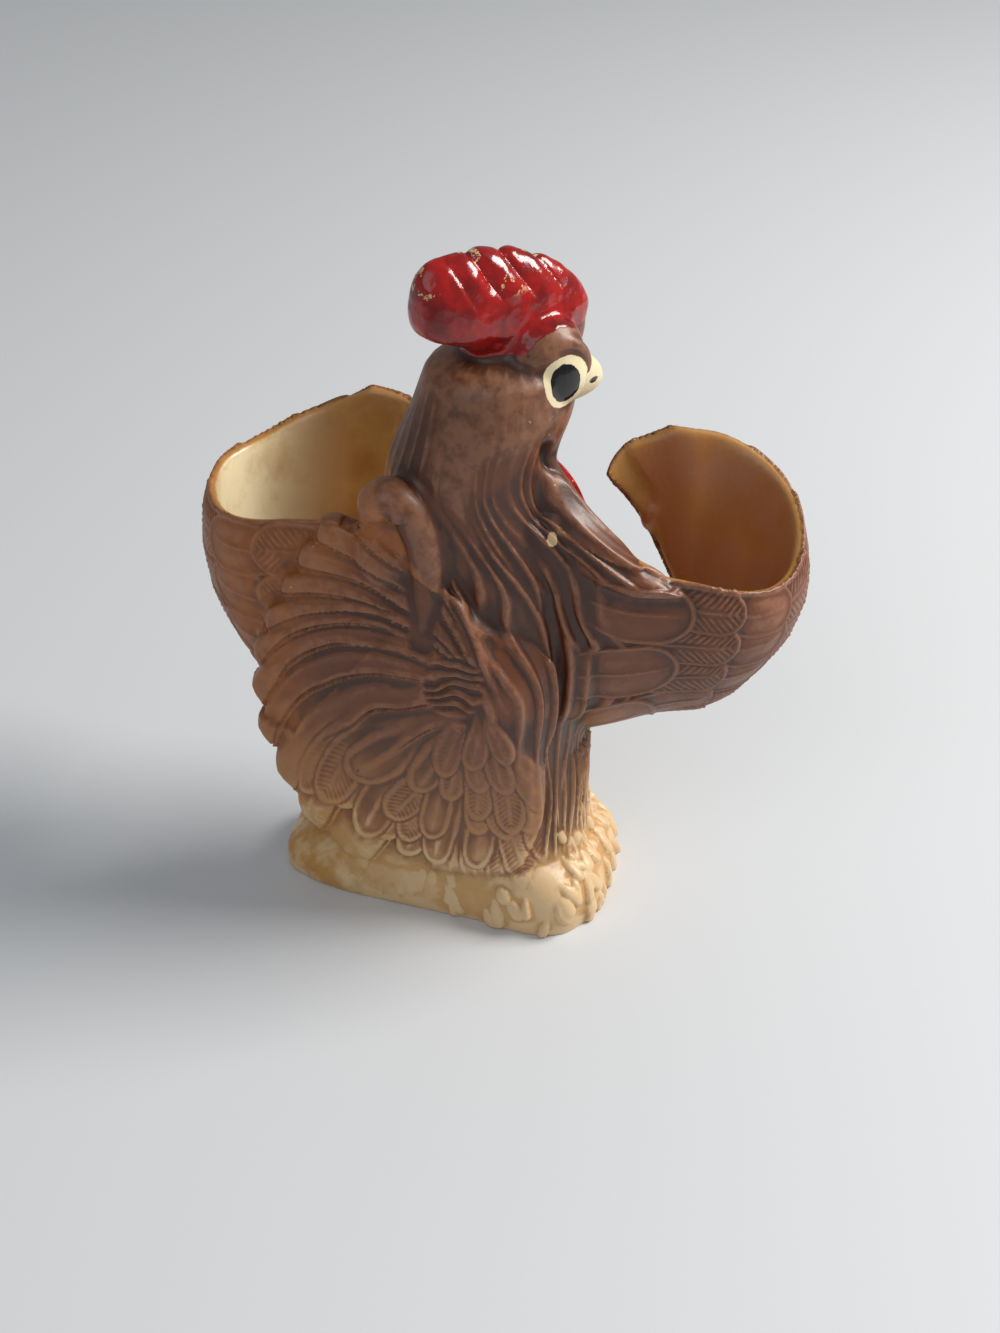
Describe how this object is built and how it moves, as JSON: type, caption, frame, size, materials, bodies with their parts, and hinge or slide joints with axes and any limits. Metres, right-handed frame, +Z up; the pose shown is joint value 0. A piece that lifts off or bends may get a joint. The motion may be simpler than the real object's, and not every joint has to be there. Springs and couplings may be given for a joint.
{
  "type": "rooster shaker holder",
  "caption": "Standing rooster figurine whose wings curl forward into open cups that hold shakers, with a turned head, a fan tail and a low straw mound base.",
  "frame": {"origin": "on the flat underside, below the middle of the body", "axes": "+Z up, -Y the way the breast faces, +X towards the bird's left wing"},
  "size_m": [0.1407, 0.0638, 0.1652],
  "materials": {
    "glaze": "satin glaze over brown, cream and red paint"
  },
  "bodies": {
    "root": {"rooster_holder": "glaze"}
  },
  "joints": []
}
